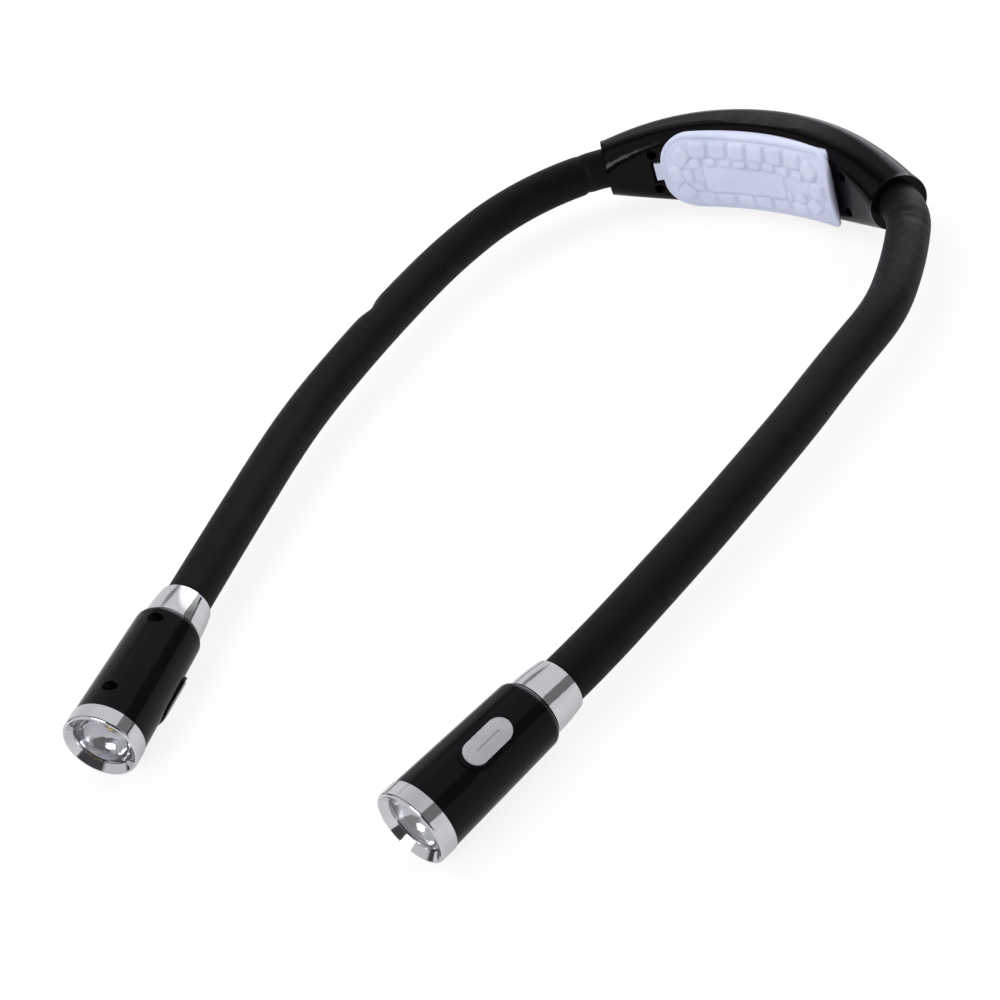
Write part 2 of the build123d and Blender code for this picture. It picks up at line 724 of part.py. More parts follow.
def build_head_shells():
    body = body_shape(0)
    rear = body.edges().filter_by(GeomType.CIRCLE).group_by(Axis.Z)[0]
    body = fillet(rear, body_rear_rounding)
    cavity = body_shape(body_wall)
    boss_radius = head_screw_hole_radius + head_screw_boss_wall
    screw_axes = [Location(Plane(origin=(0, head_screw_offset, place), x_dir=(0, 0, 1), z_dir=(-1, 0, 0)))
                  for place in head_screw_places()]
    for axis_place in screw_axes:
        cavity -= axis_place * Cylinder(boss_radius, 2 * body_front_radius)

    rib_start = led_board_start() - led_rib_thickness - stack_gap / 2
    cavity -= ring_between(body_front_radius, led_rib_bore_radius, rib_start, rib_start + led_rib_thickness)

    half_space = Box(2 * body_front_radius, 4 * body_front_radius, 3 * head_length, align=Align.CENTER)
    top_half = Pos(body_front_radius, 0, 0) * half_space
    bottom_half = Pos(-body_front_radius, 0, 0) * half_space

    board_top = board_thickness + stack_gap
    rib = Box(body_front_radius, board_width - 2 * board_rib_inset, board_rib_thickness,
              align=(Align.MIN, Align.CENTER, Align.CENTER))
    rib_places = (board_start() + board_rib_inset, board_start() + board_length - board_rib_inset)
    top_cavity, bottom_cavity = cavity, cavity
    for place in rib_places:
        top_cavity -= Pos(board_top, 0, place) * rib
        bottom_cavity -= Pos(0, 0, place) * Rot(0, 0, 180) * rib

    top = (body & top_half) - top_cavity
    bottom = (body & bottom_half) - bottom_cavity

    rim_radius = body_radius_at(button_place) + button_rim_rise
    rim_length = button_length + 2 * button_rim_width
    rim_width = button_width + 2 * button_rim_width
    rim_foot = body_radius_at(button_place) - body_wall
    rim = slot_prism(rim_length, rim_width, rim_foot * cos(asin(rim_width / 2 / rim_foot)), 2 * rim_radius)
    rim = Pos(0, 0, button_place) * rim & cylinder_between(rim_radius, 0, head_length)
    top += rim - cavity
    well = slot_prism(button_length + 2 * fit_gap, button_width + 2 * fit_gap, 0, 2 * rim_radius)
    flange_reach = 2 * button_flange + 2 * fit_gap
    pocket_top = button_flange_top() + fit_gap
    pocket = slot_prism(button_length + flange_reach, button_width + flange_reach, 0, pocket_top)
    guard = cylinder_between(rim_foot, 0, head_length) & (Pos(0, 0, button_place) * pocket)
    top -= Pos(0, 0, button_place) * Pos(board_top, 0, 0) * well
    for place in rib_places:
        top -= guard & Pos(board_top + 2 * board_thickness, 0, place) * rib

    spigot_hole = cylinder_between(collar_spigot_radius + fit_gap, body_start - overrun,
                                   body_start + 2 * body_rear_wall)
    top -= spigot_hole
    bottom -= spigot_hole

    screws = []
    for axis_place in screw_axes:
        hole = cylinder_between(head_screw_hole_radius, head_screw_web, 2 * body_front_radius)
        shank = cylinder_between(head_screw_shank_radius + fit_gap, -overrun, head_screw_web + overrun)
        pilot = cylinder_between(head_screw_shank_radius + fit_gap / 2, -head_screw_reach - fit_gap, overrun)
        bottom = bottom - axis_place * hole - axis_place * shank
        top -= axis_place * pilot
        screws.append(axis_place * make_screw(head_screw_head_radius, head_screw_head_height,
                                              head_screw_shank_radius, head_screw_web, head_screw_reach))
    return top, bottom, Compound(screws)


def build_bezel():
    """Front ring: a flared lip over the lens, a shelf for the reflector and a skirt into the body."""
    ring = cylinder_between(bezel_radius, body_end, head_length)
    front = ring.edges().group_by(Axis.Z)[-1]
    ring = fillet(front, bezel_rounding)
    ring += cylinder_between(bezel_bore_radius, body_end - bezel_skirt_length, body_end + overrun)
    ring -= cylinder_between(bezel_bore_radius - bezel_skirt_wall, 0, body_end + bezel_shelf)
    ring -= cylinder_between(bezel_bore_radius, body_end + bezel_shelf, head_length - bezel_lip_length)
    ring -= cylinder_between(bezel_lip_radius, 0, 2 * head_length)
    mouth = Cone(bezel_lip_radius, bezel_mouth_radius, bezel_mouth_depth, align=standing)
    return ring - Pos(0, 0, head_length - bezel_mouth_depth) * mouth


def lens_start():
    return head_length - bezel_lip_length - fit_gap / 2 - lens_thickness


def build_lens():
    return cylinder_between(bezel_bore_radius - fit_gap, lens_start(), lens_start() + lens_thickness)


def build_reflector():
    """A thin parabolic cup from the light source to the lens, with a rim on the shelf."""
    throat = led_board_start() + led_board_thickness + stack_gap
    rim_top = lens_start() - fit_gap / 2
    rim_radius = bezel_bore_radius - fit_gap
    cup_radius = rim_radius - reflector_wall
    mid_radius = lerp(reflector_throat_radius, cup_radius, reflector_bulge_share)
    mid_place = lerp(throat, rim_top, reflector_bulge_height_share)
    rim_foot = body_end + bezel_shelf + fit_gap / 2
    shelf_radius = bezel_bore_radius - bezel_skirt_wall - fit_gap
    wall = reflector_wall
    profile = Face(Wire([
        ThreePointArc((reflector_throat_radius, throat), (mid_radius, mid_place), (cup_radius, rim_top)),
        Line((cup_radius, rim_top), (rim_radius, rim_top)),
        Line((rim_radius, rim_top), (rim_radius, rim_foot)),
        Line((rim_radius, rim_foot), (shelf_radius, rim_foot)),
        ThreePointArc((shelf_radius, rim_foot), (mid_radius + wall, mid_place - wall / 2),
                      (reflector_throat_radius + wall, throat)),
        Line((reflector_throat_radius + wall, throat), (reflector_throat_radius, throat)),
    ]))
    return revolve(Location(Plane.XZ) * profile, Axis.Z)


def build_led_board():
    board = cylinder_between(led_board_radius, led_board_start(), led_board_start() + led_board_thickness)
    for index in range(led_board_notch_count):
        turn = Rot(0, 0, 360 / led_board_notch_count * (index + 0.5))
        notch = Cylinder(led_board_notch_radius, 4 * led_board_thickness)
        board -= turn * Pos(led_board_radius, 0, led_board_start()) * notch
    return board


def build_led():
    base = led_board_start() + led_board_thickness
    chip = Pos(0, 0, base + led_chip_height / 2) * Box(led_chip_side, led_chip_side, led_chip_height)
    dome = Pos(0, 0, base + led_chip_height) * Sphere(led_dome_radius)
    return chip + (dome & cylinder_between(led_dome_radius, base + led_chip_height / 2, head_length))


def build_switch_board():
    board = Box(board_thickness, board_width, board_length, align=(Align.MIN, Align.CENTER, Align.MIN))
    board = Pos(stack_gap / 2, 0, board_start()) * board
    case = Box(switch_height, switch_side, switch_side, align=(Align.MIN, Align.CENTER, Align.CENTER))
    face = board_thickness + stack_gap / 2
    board += Pos(face, 0, button_place) * case
    tip = switch_height + switch_plunger_height
    plunger = Rot(0, 90, 0) * cylinder_between(switch_plunger_radius, 0, tip)
    return board + Pos(face, 0, button_place) * plunger


def button_flange_top():
    """Height of the button's flange, just under the curved inside of the wall."""
    inside = body_radius_at(button_place) - body_wall
    half = button_width / 2 + button_flange
    return sqrt(inside ** 2 - half ** 2) - fit_gap


def build_button():
    """Oval cap with a grooved top, a flange that holds it in, and a stem down to the switch."""
    top_radius = body_radius_at(button_place) + button_rim_rise + button_rise
    flange_top = button_flange_top()
    flange_bottom = flange_top - button_flange_thickness
    cap = slot_prism(button_length, button_width, flange_bottom, 2 * top_radius)
    crown = Pos(0, 0, -head_length) * cylinder_between(top_radius, 0, 3 * head_length)
    cap = cap & crown
    groove = Box(2 * button_groove_depth, button_groove_width, button_groove_length)
    cap -= Pos(top_radius, 0, 0) * groove
    flange = slot_prism(button_length + 2 * button_flange, button_width + 2 * button_flange,
                        flange_bottom, flange_top)
    stem_end = (stack_gap / 2 + board_thickness + switch_height + switch_plunger_height
                + button_travel + fit_gap)
    stem = Rot(0, 90, 0) * cylinder_between(button_stem_radius, stem_end, flange_top)
    return Pos(0, 0, button_place) * (cap + flange + stem)


def head_place(side, roll):
    """Location of a head: local Z along its axis, local +X turned by roll from straight up."""
    return Location(station_plane(side, -1)) * Rot(0, 0, roll)


def build_head():
    """All pieces of one head by node name, at the local origin."""
    top, bottom, screws = build_head_shells()
    return {
        "head_top_shell": top,
        "head_bottom_shell": bottom,
        "head_screws": screws,
        "head_collar": build_collar(),
        "head_bezel": build_bezel(),
        "head_lens": build_lens(),
        "head_reflector": build_reflector(),
        "head_led_board": build_led_board(),
        "head_led": build_led(),
        "head_switch_board": build_switch_board(),
        "head_button": build_button(),
    }


def build_all():
    """Every node by name, placed as the light lies on a table."""
    front, back, screws = build_housing()
    nodes = {
        "housing_front_shell": front,
        "housing_back_shell": back,
        "housing_screws": screws,
        "battery_door": build_door(),
        "neck_pad": build_pad(),
        "battery_contacts": build_contacts(),
        "battery_springs": Compound([build_spring(lift, side) for lift, side in row_places()]),
    }
    for name, (lift, side) in zip(("battery_top", "battery_middle", "battery_bottom"), row_places()):
        nodes[name] = build_cell(lift, side)
    head = build_head()
    for word, side, roll in (("left", -1, left_head_roll), ("right", 1, right_head_roll)):
        for name, piece in build_arm(side).items():
            nodes[f"{word}_{name}"] = piece
        for name, piece in head.items():
            nodes[f"{word}_{name}"] = head_place(side, roll) * piece
    return nodes


def footprint_shift(nodes):
    """Move that puts the middle of the footprint at the origin and the lowest point at zero."""
    box = Compound([node for node in nodes.values()]).bounding_box()
    return Vector(-(box.min.X + box.max.X) / 2, -(box.min.Y + box.max.Y) / 2, -box.min.Z)


nodes = build_all()
shift = footprint_shift(nodes)
os.makedirs("parts", exist_ok=True)
for name, node in nodes.items():
    export_step(Pos(shift) * node, f"parts/{name}.step")
print("nodes", len(nodes), "shift", [round(value, 3) for value in shift])
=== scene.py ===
import math

import bmesh
import bpy
from mathutils import Euler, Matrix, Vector


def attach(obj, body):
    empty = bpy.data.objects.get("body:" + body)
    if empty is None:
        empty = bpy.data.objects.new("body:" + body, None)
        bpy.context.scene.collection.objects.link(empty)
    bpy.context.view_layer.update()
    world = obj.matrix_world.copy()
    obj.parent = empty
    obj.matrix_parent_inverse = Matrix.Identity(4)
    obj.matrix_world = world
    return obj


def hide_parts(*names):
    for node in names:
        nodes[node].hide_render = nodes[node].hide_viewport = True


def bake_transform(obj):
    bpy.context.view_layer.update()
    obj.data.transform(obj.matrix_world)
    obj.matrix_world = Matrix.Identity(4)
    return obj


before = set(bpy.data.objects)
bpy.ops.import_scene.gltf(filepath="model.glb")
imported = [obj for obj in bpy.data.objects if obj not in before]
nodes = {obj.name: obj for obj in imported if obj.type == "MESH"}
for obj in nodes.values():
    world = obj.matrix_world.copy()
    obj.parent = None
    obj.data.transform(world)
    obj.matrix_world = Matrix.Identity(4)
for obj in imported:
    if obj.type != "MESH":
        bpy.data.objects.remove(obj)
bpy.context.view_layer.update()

# Neck reading light on a pale floor, seen from above and to the right.
# All lengths are metres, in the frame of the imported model.

# The crescent and the arms, as in the part's source
origin_shift = Vector((0.000934, 0.153278, 0))
curve_radius = 0.108
half_angle = 37.8
mouth_height = 0.0185
centre_y = -curve_radius * math.cos(math.radians(half_angle))
mouth_x = curve_radius * math.sin(math.radians(half_angle))
bezel_radius = 0.013
head_length = 0.066
arm_names = ("left", "right")
arm_sides = {"left": -1, "right": 1}
arm_lengths = {
    "left": (0.0225, 0.038, 0.0318, 0.038, 0.0318, 0.038, 0.016, 0.038, 0.0306),
    "right": (0.0191, 0.038, 0.0247, 0.038, 0.0247, 0.038, 0.015, 0.038, 0.031),
}
arm_turns = {
    "left": (18.6, 25.7, 9.0, 3.9, 2.5, 7.2, 1.5, 0.4, 0.4),
    "right": (-27.9, -8.85, -16.0, 2.6, -2.6, -0.7, -1.2, -0.9, -4.0),
}
sleeve_nodes = ("sleeve_root", "sleeve_bend_1", "sleeve_link_1", "sleeve_bend_2", "sleeve_link_2",
                "sleeve_bend_3", "sleeve_link_3", "sleeve_bend_4", "sleeve_tip")
sleeve_radius = 0.008
sleeve_bore = 0.0044
sleeve_in_mouth = 0.006
sleeve_in_collar = 0.005
spine_radius = 0.004
spine_in_housing = 0.0123
spine_in_head = 0.0138
lead_radius = 0.00105
lead_offset = 0.0012
lead_in_housing = 0.0193
lead_in_head = 0.0236

# How finely the arms' skins are drawn: the step along an arm and the sides round it
sleeve_step = 0.0016
sleeve_sides = 56
spine_step = 0.0005
spine_sides = 14
spine_bore = 0.0026
spine_ridge = 0.0003
spine_pitch = 0.002
lead_step = 0.003
lead_sides = 10
cap_share = 0.5

# Marks in the soft sleeves: distance from the mouth, angle round from the top, length, width, depth
sleeve_marks = {
    "left": ((0.0095, 1.5, 0.0012, 1.4, 0.0011), (0.0045, 2.0, 0.0045, 0.9, 0.0006),
             (0.1235, -0.76, 0.0045, 0.6, 0.0012)),
    "right": ((0.0185, 0.1, 0.0011, 0.9, 0.0005), (0.0225, 0.4, 0.0016, 0.8, 0.0004)),
}

# The pad, as in the part's source
pad_back_radius = 0.095
pad_half_length = 0.0384
pad_half_height = 0.0165
pad_centre_height = 0.0195
pad_curve_radius = 0.15
pad_middle_thickness = 0.004
pad_crown = 0.0024
pad_left_radius = 0.0122
pad_top_right_radius = 0.008
pad_bottom_right_radius = 0.0028


def new_object(name, data):
    made = bpy.data.objects.new(name, data)
    bpy.context.scene.collection.objects.link(made)
    return made


def finished_mesh(name, mesh):
    """The drawn mesh as data for an object."""
    data = bpy.data.meshes.new(name)
    mesh.to_mesh(data)
    mesh.free()
    return data


# Materials

def add_node(tree, kind, **values):
    node = tree.nodes.new(kind)
    for name, value in values.items():
        setattr(node, name, value)
    return node


noise_detail = 4


def noise_node(tree, vector, scale, stretch=None):
    """A noise texture in the object's own metres, stretched along an axis where asked."""
    if stretch:
        mapping = add_node(tree, "ShaderNodeMapping")
        mapping.inputs["Scale"].default_value = stretch
        tree.links.new(vector, mapping.inputs["Vector"])
        vector = mapping.outputs["Vector"]
    texture = add_node(tree, "ShaderNodeTexNoise")
    texture.inputs["Scale"].default_value = scale
    texture.inputs["Detail"].default_value = noise_detail
    tree.links.new(vector, texture.inputs["Vector"])
    return texture.outputs["Fac"]


def map_range(tree, value, low, high, start=0.3, end=0.7):
    node = add_node(tree, "ShaderNodeMapRange")
    node.inputs["From Min"].default_value = start
    node.inputs["From Max"].default_value = end
    node.inputs["To Min"].default_value = low
    node.inputs["To Max"].default_value = high
    tree.links.new(value, node.inputs["Value"])
    return node.outputs["Result"]


def mix_colours(tree, share, first, second):
    """A mix of two colours, each given as three numbers or as a socket."""
    node = add_node(tree, "ShaderNodeMix", data_type="RGBA")
    sockets = {s.identifier: s for s in node.inputs}
    for socket, colour in ((sockets["A_Color"], first), (sockets["B_Color"], second)):
        if isinstance(colour, tuple):
            socket.default_value = (*colour, 1)
        else:
            tree.links.new(colour, socket)
    tree.links.new(share, sockets["Factor_Float"])
    return next(s for s in node.outputs if s.identifier == "Result_Color")


def make_material(name, dark, light, tone_scale, rough, rough_scale, bumps, metallic=0.0,
                  **sockets):
    """A procedural surface: two tones, a range of roughness and layers of relief, each with its
    scale, depth and stretch."""
    material = bpy.data.materials.new(name)
    material.use_nodes = True
    tree = material.node_tree
    shader = tree.nodes["Principled BSDF"]
    place = add_node(tree, "ShaderNodeTexCoord").outputs["Object"]
    tone = map_range(tree, noise_node(tree, place, tone_scale), 0, 1)
    tree.links.new(mix_colours(tree, tone, dark, light), shader.inputs["Base Color"])
    roughness = map_range(tree, noise_node(tree, place, rough_scale), *rough)
    tree.links.new(roughness, shader.inputs["Roughness"])
    shader.inputs["Metallic"].default_value = metallic
    for socket, value in sockets.items():
        shader.inputs[socket.replace("_", " ")].default_value = value
    normal = None
    for scale, depth, stretch in bumps:
        bump = add_node(tree, "ShaderNodeBump")
        bump.inputs["Distance"].default_value = depth
        tree.links.new(noise_node(tree, place, scale, stretch=stretch), bump.inputs["Height"])
        if normal:
            tree.links.new(normal, bump.inputs["Normal"])
        normal = bump.outputs["Normal"]
    tree.links.new(normal, shader.inputs["Normal"])
    return material


shell_black = make_material(
    "shell_gloss_black", (0.0016, 0.0016, 0.0022), (0.0026, 0.0026, 0.0034), 45, (0.09, 0.16), 160,
    bumps=((90, 0.00003, None), (2600, 0.0000012, None)), Specular_IOR_Level=0.13)
sleeve_black = make_material(
    "sleeve_matte_black", (0.0024, 0.0022, 0.0024), (0.0042, 0.0038, 0.0040), 140, (0.46, 0.6), 420,
    bumps=((3200, 0.000012, None), (260, 0.00003, None)), Specular_IOR_Level=0.12,
    Sheen_Weight=0.06, Sheen_Roughness=0.3)
chrome = make_material(
    "trim_chrome", (0.80, 0.80, 0.81), (0.86, 0.86, 0.87), 120, (0.03, 0.09), 300,
    bumps=((70, 0.00002, None), (3000, 0.0000006, None)), metallic=1.0)
lens_clear = make_material(
    "lens_clear", (0.965, 0.975, 0.98), (0.985, 0.99, 0.995), 80, (0.0, 0.02), 200,
    bumps=((60, 0.000004, None),), Transmission_Weight=1.0, IOR=1.49)
mirror = make_material(
    "reflector_mirror", (0.60, 0.60, 0.64), (0.72, 0.72, 0.75), 200, (0.03, 0.07), 500,
    bumps=((330, 0.00012, None), (900, 0.00002, None)), metallic=1.0)
board_white = make_material(
    "board_white", (0.70, 0.70, 0.67), (0.80, 0.80, 0.77), 260, (0.35, 0.5), 600,
    bumps=((1800, 0.000008, None),))
led_yellow = make_material(
    "led_phosphor", (0.78, 0.50, 0.07), (0.90, 0.66, 0.14), 900, (0.25, 0.4), 1200,
    bumps=((3500, 0.00001, None),), Coat_Weight=0.8, Coat_Roughness=0.05)
board_green = make_material(
    "board_green", (0.015, 0.12, 0.04), (0.03, 0.2, 0.07), 420, (0.25, 0.4), 700,
    bumps=((2200, 0.00001, None),))
button_grey = make_material(
    "button_satin_grey", (0.300, 0.305, 0.315), (0.345, 0.35, 0.36), 260, (0.38, 0.5), 700,
    bumps=((4200, 0.000004, None), (300, 0.00001, None)))
door_white = make_material(
    "door_white", (0.57, 0.60, 0.74), (0.64, 0.67, 0.80), 90, (0.3, 0.42), 300,
    bumps=((2400, 0.000003, None),), Subsurface_Weight=0.08, Subsurface_Scale=0.002)
pad_lavender = make_material(
    "pad_soft_lavender", (0.53, 0.56, 0.72), (0.60, 0.63, 0.78), 70, (0.36, 0.5), 240,
    bumps=((3000, 0.000005, None), (420, 0.00001, None)), Subsurface_Weight=0.12,
    Subsurface_Scale=0.002)
steel = make_material(
    "plated_steel", (0.40, 0.40, 0.41), (0.52, 0.52, 0.53), 500, (0.2, 0.38), 900,
    bumps=((2400, 0.000004, (1, 1, 8)),), metallic=1.0)
screw_black = make_material(
    "screw_black_oxide", (0.006, 0.006, 0.007), (0.014, 0.014, 0.015), 700, (0.3, 0.46), 1100,
    bumps=((2600, 0.000005, None),), metallic=0.6, Specular_IOR_Level=0.15)
spring_steel = make_material(
    "spring_steel", (0.50, 0.50, 0.50), (0.62, 0.62, 0.61), 600, (0.16, 0.3), 1200,
    bumps=((3000, 0.000003, None),), metallic=1.0)
brass = make_material(
    "ferrule_brass", (0.50, 0.36, 0.14), (0.62, 0.46, 0.2), 300, (0.2, 0.36), 800,
    bumps=((2600, 0.000004, None),), metallic=1.0)
lead_red = make_material(
    "lead_jacket", (0.32, 0.012, 0.012), (0.42, 0.02, 0.02), 300, (0.35, 0.5), 700,
    bumps=((2600, 0.000006, None),))
cell_green = make_material(
    "cell_sleeve", (0.012, 0.07, 0.035), (0.02, 0.1, 0.05), 160, (0.2, 0.34), 500,
    bumps=((900, 0.000006, None),))

node_materials = {
    "housing_front_shell": shell_black,
    "housing_back_shell": shell_black,
    "housing_screws": screw_black,
    "battery_door": door_white,
    "battery_contacts": spring_steel,
    "battery_springs": spring_steel,
    "battery_top": cell_green,
    "battery_middle": cell_green,
    "battery_bottom": cell_green,
}
head_materials = {
    "arm_anchor": brass,
    "head_top_shell": shell_black,
    "head_bottom_shell": shell_black,
    "head_screws": screw_black,
    "head_collar": chrome,
    "head_bezel": chrome,
    "head_lens": lens_clear,
    "head_reflector": mirror,
    "head_led_board": board_white,
    "head_led": led_yellow,
    "head_switch_board": board_green,
    "head_button": button_grey,
}
for arm_name in arm_names:
    for node_name, node_material in head_materials.items():
        node_materials[f"{arm_name}_{node_name}"] = node_material


# Facets' corners nearer than this are joined, and edges sharper than this stay crisp
weld_distance = 0.000002
crisp_angle = math.radians(32)


def dress_node(name, material):
    """Give a carried-over solid its surface, smooth over its facets and crisp at its edges."""
    piece = nodes[name]
    piece.data.materials.clear()
    piece.data.materials.append(material)
    piece.data.shade_smooth()
    weld = piece.modifiers.new("weld", "WELD")
    weld.merge_threshold = weld_distance
    split = piece.modifiers.new("edges", "EDGE_SPLIT")
    split.split_angle = crisp_angle
    split.use_edge_sharp = False
    piece.modifiers.new("normals", "WEIGHTED_NORMAL")


for node_name, node_material in node_materials.items():
    dress_node(node_name, node_material)


# Arms

class Arm:
    """The centreline of one arm: arcs in a plane that falls from the mouth to the head."""

    def __init__(self, name):
        self.side = arm_sides[name]
        self.lengths = arm_lengths[name]
        self.turns = arm_turns[name]
        heading = -half_angle if self.side > 0 else half_angle - 180
        x, y = 0.0, 0.0
        self.stations = [(x, y, heading)]
        for length, turn in zip(self.lengths, self.turns):
            dx, dy = self.chord(heading, length, turn)
            x, y, heading = x + dx, y + dy, heading + turn
            self.stations.append((x, y, heading))
        reach = -y - head_length * math.sin(math.radians(heading))
        tilt = math.asin((mouth_height - bezel_radius) / reach)
        self.origin = Vector((self.side * mouth_x, 0, mouth_height)) + origin_shift
        self.plane_x = Vector((1, 0, 0))
        self.plane_y = Vector((0, math.cos(tilt), math.sin(tilt)))
        self.up = Vector((0, -math.sin(tilt), math.cos(tilt)))
        self.runs = [0.0]
        for length in self.lengths:
            self.runs.append(self.runs[-1] + length)

    @staticmethod
    def chord(heading, length, turn):
        """How far an arc carries the point that runs along it."""
        half = math.radians(turn / 2)
        reach = length * math.sin(half) / half if abs(half) > 1e-9 else length
        middle = math.radians(heading) + half
        return reach * math.cos(middle), reach * math.sin(middle)

    def at(self, run):
        """Centre, direction and sideways direction at a distance from the mouth."""
        if run <= 0:
            x, y, heading = self.stations[0]
            dx, dy = self.chord(heading, run, 0)
        elif run >= self.runs[-1]:
            x, y, heading = self.stations[-1]
            dx, dy = self.chord(heading, run - self.runs[-1], 0)
        else:
            index = max(i for i, start in enumerate(self.runs[:-1]) if start <= run)
            x, y, heading = self.stations[index]
            part = run - self.runs[index]
            turn = self.turns[index] * part / self.lengths[index]
            dx, dy = self.chord(heading, part, turn)
            heading += turn
        centre = self.origin + self.plane_x * (x + dx) + self.plane_y * (y + dy)
        angle = math.radians(heading)
        along = self.plane_x * math.cos(angle) + self.plane_y * math.sin(angle)
        return centre, along, self.up.cross(along)

    def middle(self, index):
        return (self.runs[index] + self.runs[index + 1]) / 2


def new_piece(name, data, material):
    """A visible piece of one smooth surface, with its material."""
    data.materials.append(material)
    data.shade_smooth()
    piece = new_object(name, data)
    return piece


def add_tube(mesh, arm, start, end, lift, skin, open_start, open_end):
    """A tube along the arm, with a turned-in lip to its bore or a cap where an end isn't open."""
    count = max(2, round((end - start) / skin["step"]))
    runs = [start + (end - start) * i / count for i in range(count + 1)]
    sides, radius_at, bore = skin["sides"], skin["radius_at"], skin["bore"]

    def ring(run, radius=None):
        centre, along, across = arm.at(run)
        made = []
        for k in range(sides):
            angle = 2 * math.pi * k / sides
            size = radius if radius is not None else radius_at(run, angle)
            offset = arm.up * (size * math.cos(angle) + lift) + across * size * math.sin(angle)
            made.append(mesh.verts.new(centre + offset))
        return made

    rings = [ring(run) for run in runs]
    if not open_start:
        rings.insert(0, ring(start, bore or radius_at(start, 0) * cap_share))
    if not open_end:
        rings.append(ring(end, bore or radius_at(end, 0) * cap_share))
    for first, second in zip(rings, rings[1:]):
        for k in range(sides):
            following = (k + 1) % sides
            mesh.faces.new((first[k], first[following], second[following], second[k]))
    if not bore:
        if not open_start:
            mesh.faces.new(rings[0])
        if not open_end:
            mesh.faces.new(rings[-1])


def smooth_step(value, start, end):
    """Rises from zero to one between two values, level at both."""
    share = min(1.0, max(0.0, (value - start) / (end - start)))
    return share * share * (3 - 2 * share)


def arm_skins(name):
    """What an arm shows: each skin's surface, its reach past the mouth and into the head, how its
    tubes are drawn, and the solids that each of its four pieces stands for."""

    def sleeve_shape(run, angle):
        dimple = 0.0
        for place, across, length, width, depth in sleeve_marks[name]:
            away = math.hypot((run - place) / length, math.sin((angle - across) / 2) * 2 / width)
            dimple += depth * math.exp(-away * away)
        return sleeve_radius - dimple

    def spine_shape(run, angle):
        wave = math.cos(2 * math.pi * run / spine_pitch + angle)
        return spine_radius - spine_ridge * (1 + wave) / 2

    def lead_shape(run, angle):
        return lead_radius

    return {
        "sleeve": {
            "material": sleeve_black, "slot": "sleeve_rubber",
            "in_housing": sleeve_in_mouth, "in_head": sleeve_in_collar,
            "step": sleeve_step, "sides": sleeve_sides, "radius_at": sleeve_shape,
            "bore": sleeve_bore, "lifts": (0.0,),
            "stands_for": (sleeve_nodes[0:3], sleeve_nodes[3:4], sleeve_nodes[4:6],
                           sleeve_nodes[6:9]),
        },
        "spine": {
            "material": steel, "slot": "spine_steel",
            "in_housing": spine_in_housing, "in_head": spine_in_head,
            "step": spine_step, "sides": spine_sides, "radius_at": spine_shape,
            "bore": spine_bore, "lifts": (0.0,),
            "stands_for": (("gooseneck_spine",), (), (), ()),
        },
        "leads": {
            "material": lead_red, "slot": "lead_jacket",
            "in_housing": lead_in_housing, "in_head": lead_in_head,
            "step": lead_step, "sides": lead_sides, "radius_at": lead_shape,
            "bore": None, "lifts": (-lead_offset, lead_offset),
            "stands_for": (("leads",), (), (), ()),
        },
    }


def build_arm(name):
    """Sleeve, spine and leads in four pieces each, every piece spanning one joint."""
    arm = Arm(name)
    skins = arm_skins(name)
    bodies = ("housing", f"{name}_arm_upper", f"{name}_arm_middle", f"{name}_arm_wrist",
              f"{name}_head")
    joints = len(bodies) - 1
    for index in range(joints):
        first, last = index == 0, index == joints - 1
        for kind, skin in skins.items():
            start = -skin["in_housing"] if first else arm.middle(2 * index)
            end = arm.runs[-1] + skin["in_head"] if last else arm.middle(2 * index + 2)
            mesh = bmesh.new()
            for lift in skin["lifts"]:
                add_tube(mesh, arm, start, end, lift, skin, open_start=not first, open_end=not last)
            bmesh.ops.recalc_face_normals(mesh, faces=mesh.faces)
            piece_name = f"{name}_{kind}_skin_{index + 1}"
            piece = new_piece(piece_name, finished_mesh(piece_name, mesh), skin["material"])
            bend_start, bend_end = arm.runs[2 * index + 1], arm.runs[2 * index + 2]
            arm.at(bend_start)[0]
            arm.at(bend_end)[0]
            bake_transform(piece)
            stands_for = [f"{name}_{node}" for node in skin["stands_for"][index]]
            if stands_for:
                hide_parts(*stands_for)


for arm_name in arm_names:
    build_arm(arm_name)


# Neck pad

# Two rings of bumps: outline and dome by their powers, and nothing of a bump past its reach
bump_count = 18
outer_bump = {"inset": 0.0058, "half_along": 0.0038, "half_in": 0.0033, "height": 0.0013}
inner_bump = {"inset": 0.0112, "half_along": 0.0027, "half_in": 0.0021, "height": 0.0012}
bump_outline_power = 4
bump_dome_power = 5
bump_reach = 0.006

# The bare plaque, with a sloping edge and a moat that keeps the bumps off
plaque = {"along": -0.0020, "lift": -0.0018, "half_along": 0.0190, "half_lift": 0.0061,
          "radius": 0.0024, "height": 0.0008, "slope": 0.0009, "moat_start": -0.0001,
          "moat_end": 0.0006}
rim_line = {"inset": 0.0018, "width": 0.00035, "depth": 0.0004}
edge_rounding = 0.0008

# How finely the pad is drawn: rings of points from its edge to its middle
side_steps = 150
end_steps = 50
large_corner_steps = 36
small_corner_steps = 18
edge_insets = (0, 0.00012, 0.0003, 0.0005, 0.0007, 0.0009, 0.0012, 0.0015, 0.0018, 0.0021)
inset_step = 0.00038
last_inset_gap = 0.0004
back_insets = (pad_half_height, 0.011, 0.005, 0)
join_distance = 0.00001


